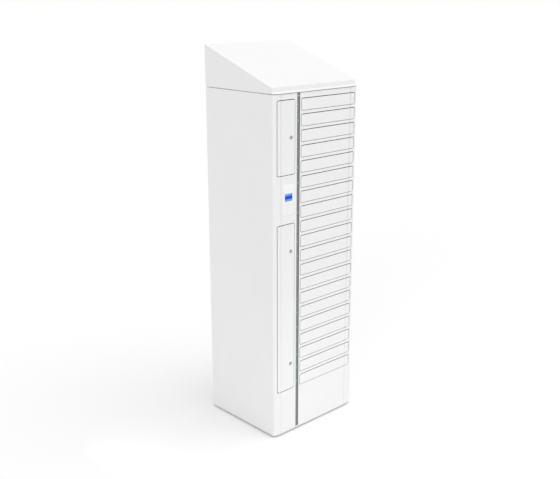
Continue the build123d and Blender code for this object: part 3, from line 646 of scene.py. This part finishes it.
def lockRows(head):
    # the head's circles, the rim down to the door, the shank's outside, and back to the bore
    bore, rim = head["profile"][0][0], head["profile"][-1][0]
    half, corner, end = head["shankHalf"], head["shankCorner"], head["shankDepth"]
    rows = [(radius, radius, radius, depth - head["proud"]) for radius, depth in head["profile"]]
    return rows + [(rim, rim, rim, 0.0), (half, half, corner, 0.0), (half, half, corner, end),
                   (bore, bore, bore, end)]


for name, centres in lockCentres.items():
    mesh = loftMesh(name + "Turned", [(centre.x, centre.z) for centre in centres],
                    lockRows(lockHead), lockHead["steps"], ringed=True)
    addPiece(name + "_turned", mesh, bodyOf[name], "lock_chrome", "lock_chrome", name)
print("locks turned:", sum(len(centres) for centres in lockCentres.values()))


# Status strip: one moulded lens for each lamp, the cover's face and the cap on its top end

lens = {
    "halfSize": (0.0035, 0.005),
    "barHalfSize": (0.009, 0.003),
    "corner": 0.0012,
    "leastCorner": 0.0002,
    "proud": 0.0003,
    "edge": ((0.0002, 0.6), (0.0009, 1.0)),   # inset, and how much of the height it reaches
    "back": 0.0129,
    "barDrop": 0.0037,
    "steps": 4,
}
stripFace = {"corner": 0.0004, "bevel": 0.0003, "faceCorner": 0.0002, "steps": 3}
stripCap = {"halfHeight": 0.0011, "front": 0.0009, "back": 0.0017, "corner": 0.0002, "steps": 2}
stripMiddle = middle("strip_cover")
coverLow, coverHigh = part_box("strip_cover")
coverFront, coverBack = coverLow.y - frontY, coverHigh.y - frontY
coverHalf = ((coverHigh.x - coverLow.x) / 2, (coverHigh.z - coverLow.z) / 2)


def lensRows(halfSize, form):
    halfWidth, halfHeight = halfSize
    steps = [(0.0, form["back"]), (0.0, coverFront)]
    steps += [(inset, coverFront - share * form["proud"]) for inset, share in form["edge"]]
    return [(halfWidth - inset, halfHeight - inset,
             max(form["corner"] - inset, form["leastCorner"]), depth) for inset, depth in steps]


def lampHeights(name):
    # the lamps are boxes, so the node has two levels for each: the mean of each pair
    mesh = nodes[name].data
    points = np.empty(3 * len(mesh.vertices))
    mesh.vertices.foreach_get("co", points)
    levels = np.unique(np.round(points[2::3], 5))
    return [(low + high) / 2 for low, high in zip(levels[0::2], levels[1::2])]


lampCount = 0
for name in sorted(nodes):
    if name.startswith("status_lamps_"):
        centres = [(stripMiddle.x, z) for z in lampHeights(name)]
        mesh = loftMesh(name + "Lenses", centres, lensRows(lens["halfSize"], lens), lens["steps"])
        addPiece(name + "_lenses", mesh, "cabinet", slotOf[name], slotOf[name], name)
        lampCount += len(centres)
barCentre = (stripMiddle.x, middle("status_light_bar").z - lens["barDrop"])
barMesh = loftMesh("lightBarLens", [barCentre], lensRows(lens["barHalfSize"], lens), lens["steps"])
addPiece("status_light_bar_lens", barMesh, "cabinet", "lamp_teal", "lightBar", "status_light_bar")
bevel = stripFace["bevel"]
coverRows = [(*coverHalf, stripFace["corner"], coverBack),
             (*coverHalf, stripFace["corner"], coverFront + bevel),
             (coverHalf[0] - bevel, coverHalf[1] - bevel, stripFace["faceCorner"], coverFront)]
coverMesh = loftMesh("stripCoverFace", [(stripMiddle.x, (coverLow.z + coverHigh.z) / 2)], coverRows,
                     stripFace["steps"])
addPiece("strip_cover_face", coverMesh, "cabinet", "strip_grey", "strip_grey", "strip_cover")
capRows = [(coverHalf[0], stripCap["halfHeight"], stripCap["corner"], stripCap[end])
           for end in ("back", "front")]
capCentre = (stripMiddle.x, frameTop - stripCap["halfHeight"])
addPiece("strip_end_cap", loftMesh("stripEndCap", [capCentre], capRows, stripCap["steps"]),
         "cabinet", "strip_grey", "strip_grey")
print("lamp lenses:", lampCount)


# Control panel: plate, glass and reader, with grey strips painted as the shade in the seams between
# its mouldings, and an indicator

panelTrim = {
    "seamZ": 1.2428,
    "seamHalf": 0.00035,
    "seamCorner": 0.0001,
    "seamMargin": 0.0010,
    "seamProud": 0.00003,
    "indicator": (-0.1917, 1.2275),
    "indicatorRadius": 0.0017,
    "indicatorEdge": ((1.0, -0.00008), (0.7, -0.0002)),   # share of the radius, depth
    "root": 0.0004,           # each of them starts this far behind the plate's face
}


def plateRows(plate, rise):
    # outer edge from the wall to the chamfered face, then down the window's edge to the wall
    half, high = plate["halfSize"]
    windowHalf, windowHigh = plate["windowHalf"]
    corner, bevel = plate["windowCorner"], plate["windowBevel"]
    face = -plate["proud"]
    rows = [(half, high, plate["corner"], 0.0)]
    rows += [(half - inset, high - inset, plate["corner"] - inset, face + depth)
             for inset, depth in plate["edge"]]
    return rows + [(windowHalf + bevel, windowHigh + bevel, corner + bevel, face, rise),
                   (windowHalf, windowHigh, corner, face + bevel, rise),
                   (windowHalf, windowHigh, corner, 0.0, rise)]


panelX, panelZ = panelPlate["centreX"], middle("panel_bezel").z
panelFace = -panelPlate["proud"]
plateMesh = loftMesh("panelBezelPlate", [(panelX, panelZ)], plateRows(panelPlate, screenZ - panelZ),
                     ringed=True)
addPiece("panel_bezel_plate", plateMesh, "cabinet", "bezel_white", "bezel_white", "panel_bezel")
glassRows = [(*panelPlate["windowHalf"], panelPlate["glassCorner"], depth)
             for depth in (0.0, panelFace + panelPlate["glassBack"])]
glassMesh = loftMesh("displayGlassPane", [(panelX, screenZ)], glassRows, steps=2)
addPiece("display_glass_pane", glassMesh, "cabinet", "display", "display", "display_glass")
readerX, readerZ = panelPlate["readerCentre"]
halfWidth, halfHeight = panelPlate["readerHalf"]
readerRows = [(halfWidth - inset, halfHeight - inset, panelPlate["readerCorner"], panelFace + depth)
              for inset, depth in panelPlate["readerEdge"]]
readerMesh = loftMesh("cardReaderPlate", [(readerX, readerZ)], readerRows, steps=4)
addPiece("card_reader_plate", readerMesh, "cabinet", "reader_white", "reader_white", "card_reader")
seamZ, seamHalf = panelTrim["seamZ"], panelTrim["seamHalf"]
readerLow = readerZ - halfHeight
# grey strips a hair in front of the plate's face, painted as the shade in the seams
seams = {                     # centre and half size
    "panel_seam": ((panelX, seamZ),
                   (panelPlate["halfSize"][0] - panelTrim["seamMargin"], seamHalf)),
    "reader_seam": ((readerX - halfWidth - seamHalf, (seamZ + readerLow) / 2),
                    (seamHalf, (seamZ - readerLow) / 2)),
}
rootDepth = panelFace + panelTrim["root"]
for name, (centre, halfSize) in seams.items():
    rows = [(*halfSize, panelTrim["seamCorner"], depth)
            for depth in (rootDepth, panelFace - panelTrim["seamProud"])]
    addPiece(name, loftMesh(name + "Line", [centre], rows, steps=2), "cabinet", "bezel_white",
             "seamShadeGrey")
radius = panelTrim["indicatorRadius"]
indicatorRows = [(radius, radius, radius, rootDepth)]
indicatorRows += [(share * radius, share * radius, share * radius, panelFace + depth)
                  for share, depth in panelTrim["indicatorEdge"]]
indicatorMesh = loftMesh("readerIndicator", [panelTrim["indicator"]], indicatorRows)
addPiece("reader_indicator", indicatorMesh, "cabinet", "lamp_unlit", "indicatorGrey")
print("panel trimmed")


# Hood ledge: a rolled edge along the foot of the hood's lip, which follows the bent front below it

hoodLedge = {
    "height": 0.008,
    "reach": 0.0192,          # how far back it goes
    "proud": 0.003,
    "roll": 0.006,
    "rollSteps": 5,
    "tolerance": 1e-4,        # vertices this close to a level count as on it
    "level": 0.999,           # faces that point this straight up or down are shaded flat
}


def ledgeMesh(name, ledge):
    # the convex outline of the front frame's top, moved forward to stand proud, drawn as far back
    # as the reach and closed between the hood's bottom and the ledge's height; its top edges roll
    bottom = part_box("hood")[0].z
    top, back = bottom + ledge["height"], frontY + ledge["reach"]
    frameVerts = nodes["front_frame"].data.vertices
    points = np.empty(3 * len(frameVerts))
    frameVerts.foreach_get("co", points)
    points = points.reshape(-1, 3)
    onTop = (points[:, 2] > frameTop - ledge["tolerance"]) & (points[:, 1] < back)
    outline = points[onTop][:, :2] - np.array([0.0, ledge["proud"]])
    low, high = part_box("front_frame")
    outline = np.unique(np.round(np.vstack([outline, [[low.x, back], [high.x, back]]]), 6), axis=0)
    work = bmesh.new()
    for z in (bottom, top):
        for x, y in outline:
            work.verts.new((x, y, z))
    hull = bmesh.ops.convex_hull(work, input=work.verts[:])
    loose = list({piece for piece in hull["geom_interior"] + hull["geom_unused"]
                  if isinstance(piece, bmesh.types.BMVert)})
    bmesh.ops.delete(work, geom=loose, context="VERTS")
    joinFlats(work)
    rim = [line for line in work.edges
           if min(vert.co.z for vert in line.verts) > top - ledge["tolerance"]
           and min(vert.co.y for vert in line.verts) < back - ledge["tolerance"]]
    roundOver(work, rim, ledge["roll"], ledge["rollSteps"])
    bmesh.ops.recalc_face_normals(work, faces=work.faces[:])
    mesh = bpy.data.meshes.new(name)
    return storeMesh(work, mesh, lambda face: abs(face.normal.z) < ledge["level"], smoothUpTo)


addPiece("hood_ledge", ledgeMesh("hoodLedge", hoodLedge), "cabinet", "white_coat", "white_coat")
print("hood ledge added")


# Charging sockets and outlets: raised faces, with near-black patches painted as the shade inside
# their apertures

socketFace = {
    "outline": (0.0150, 0.0100, 0.003),       # half width, half height, corner
    "proud": 0.0010,
    "slots": ((-0.0070, 0.0), (0.0070, 0.0)),
    "slotHalf": (0.0052, 0.0024),
}
outletFace = {
    "outline": (0.0145, 0.0145, 0.0145),
    "proud": 0.0008,
    "slots": ((-0.0045, 0.0055), (0.0045, 0.0055), (0.0, -0.0065)),
    "slotHalf": (0.0012, 0.0032),
    "count": 10,
}
faceRoot = 0.0002             # the raised face starts this far inside the housing
faceBevel = 0.0004
faceCornerLoss = 0.0003
slotCorner = 0.0008
slotSteps = (0.0003, -0.00003)    # where an aperture starts and ends, behind the raised face


def facePieces(name, centres, face, depth):
    front = depth - face["proud"]
    halfWidth, halfHeight, corner = face["outline"]
    rows = [(halfWidth, halfHeight, corner, depth + faceRoot),
            (halfWidth, halfHeight, corner, front + faceBevel),
            (halfWidth - faceBevel, halfHeight - faceBevel, corner - faceCornerLoss, front)]
    addPiece(name + "_faces", loftMesh(name + "Faces", centres, rows), "cabinet", "black_plastic",
             "socketFace")
    # near-black patches, a hair in front of the raised face, painted where the apertures' shade
    # falls
    slots = [(x + dx, z + dz) for x, z in centres for dx, dz in face["slots"]]
    rows = [(*face["slotHalf"], slotCorner, front + step) for step in slotSteps]
    addPiece(name + "_apertures", loftMesh(name + "Apertures", slots, rows, steps=2), "cabinet",
             "black_plastic", "apertureShade")


socketLow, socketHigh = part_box("charging_sockets")
socketX = (socketLow.x + socketHigh.x) / 2
facePieces("charging_socket", [(socketX, middle(name).z) for name in bayDoors], socketFace,
           socketLow.y - frontY)
outletLow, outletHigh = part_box("outlet_strip")
outletX = (outletLow.x + outletHigh.x) / 2
outletShare = (np.arange(outletFace["count"]) + 0.5) / outletFace["count"]
outletZ = (outletLow.z + (outletHigh.z - outletLow.z) * outletShare).tolist()
facePieces("outlet", [(outletX, z) for z in outletZ], outletFace, outletLow.y - frontY)
print("socket and outlet faces added")


# Floor, light and camera

studio = {
    "floorHalf": 30.0,
    "floorColour": (0.84, 0.84, 0.84),
    "floorLift": 0.13,        # only where it is seen directly, so that it reads as white
    "fibreNoise": (180.0, 3.0, 0.6),
    "fibreShade": 0.99,
    "worldLevel": 0.668,
    "suns": {                 # strength, where the light comes from, and degrees across
        "topSun": (0.88, (0.15, -0.25, 1.0), 50.0),
        "sideSun": (0.52, (-0.80, -0.60, 0.35), 40.0),
        "rightSun": (0.26, (0.80, -0.62, 0.85), 50.0),
    },
    "fills": {                # power, place, target, and width and height of low panels
        "frontFill": (0.55, (0.0, -1.05, 0.12), (0.0, 0.0, 0.12), (1.0, 0.2)),
        "sideFill": (0.26, (-1.1, -0.05, 0.12), (0.0, -0.05, 0.12), (0.6, 0.2)),
    },
}


def seenDirectly(tree):
    # 1 for the camera's own rays and for what metal or glass shows
    path = addNode(tree, "ShaderNodeLightPath")
    seen = calculate(tree, "MAXIMUM", path.outputs["Is Camera Ray"], path.outputs["Is Glossy Ray"])
    return calculate(tree, "MAXIMUM", seen, path.outputs["Is Transmission Ray"])


def makeFloor(settings):
    half = settings["floorHalf"]
    corners = [(-half, -half, 0), (half, -half, 0), (half, half, 0), (-half, half, 0)]
    mesh = bpy.data.meshes.new("studioFloor")
    mesh.from_pydata(corners, [], [(0, 1, 2, 3)])
    floor = bpy.data.objects.new("studioFloor", mesh)
    scene.collection.objects.link(floor)
    material, tree = newMaterial("floorPaper")
    fibre = noise(tree, objectPosition(tree), *settings["fibreNoise"])
    colour = settings["floorColour"]
    mottled = blendColours(tree, fibre, colour, shaded(colour, settings["fibreShade"]))
    paper = addNode(tree, "ShaderNodeBsdfDiffuse", {"Color": mottled, "Roughness": 0.0})
    lift = addNode(tree, "ShaderNodeEmission", {"Color": (1, 1, 1, 1),
                                                "Strength": settings["floorLift"]})
    lifted = addNode(tree, "ShaderNodeAddShader", {0: paper.outputs[0], 1: lift.outputs[0]})
    chosen = addNode(tree, "ShaderNodeMixShader", {0: seenDirectly(tree), 1: paper.outputs[0],
                                                   2: lifted.outputs[0]})
    closeMaterial(tree, chosen.outputs[0])
    mesh.materials.append(material)


def makeWorld(settings):
    world = bpy.data.worlds.new("studioWorld")
    world.use_nodes = True
    tree = world.node_tree
    tree.nodes.clear()
    strength = spread(tree, seenDirectly(tree), settings["worldLevel"], 1.0)
    background = addNode(tree, "ShaderNodeBackground", {"Color": (1, 1, 1, 1),
                                                        "Strength": strength})
    addNode(tree, "ShaderNodeOutputWorld", {"Surface": background.outputs[0]})
    scene.world = world


def makeSuns(settings):
    # wide suns: from above for the hood and the floor, past the near corner for the side and the
    # bend, and a weak one from the right for the front and the far corner
    for name, (strength, comesFrom, across) in settings["suns"].items():
        data = bpy.data.lights.new(name, "SUN")
        data.energy = strength
        data.angle = math.radians(across)
        light = bpy.data.objects.new(name, data)
        light.rotation_euler = Vector(comesFrom).to_track_quat("Z", "Y").to_euler()
        scene.collection.objects.link(light)


def makeFills(settings):
    # low, wide panels lift the bottom of the front and of the side
    for name, (power, place, target, size) in settings["fills"].items():
        data = bpy.data.lights.new(name, "AREA")
        data.shape = "RECTANGLE"
        data.size, data.size_y = size
        data.energy = power
        light = bpy.data.objects.new(name, data)
        light.location = place
        light.rotation_euler = (Vector(target) - Vector(place)).to_track_quat("-Z", "Y").to_euler()
        scene.collection.objects.link(light)


makeFloor(studio)
makeWorld(studio)
makeSuns(studio)
makeFills(studio)

photoView = {
    "place": (-2.9453, -3.1130, 2.2260),
    "turnDegrees": 43.27,     # clockwise from +Y
    "tiltDegrees": 16.31,     # downwards
    "lens": 53.71,
    "sensor": 36.0,
    "clip": (0.1, 60.0),
}


def makeCamera(view):
    data = bpy.data.cameras.new("photoCamera")
    data.lens = view["lens"]
    data.sensor_width = view["sensor"]
    data.clip_start, data.clip_end = view["clip"]
    camera = bpy.data.objects.new("photoCamera", data)
    camera.location = view["place"]
    camera.rotation_euler = (math.radians(90 - view["tiltDegrees"]), 0,
                             math.radians(-view["turnDegrees"]))
    scene.collection.objects.link(camera)
    scene.camera = camera


makeCamera(photoView)
scene.view_settings.view_transform = "Standard"
print("studio and camera placed")
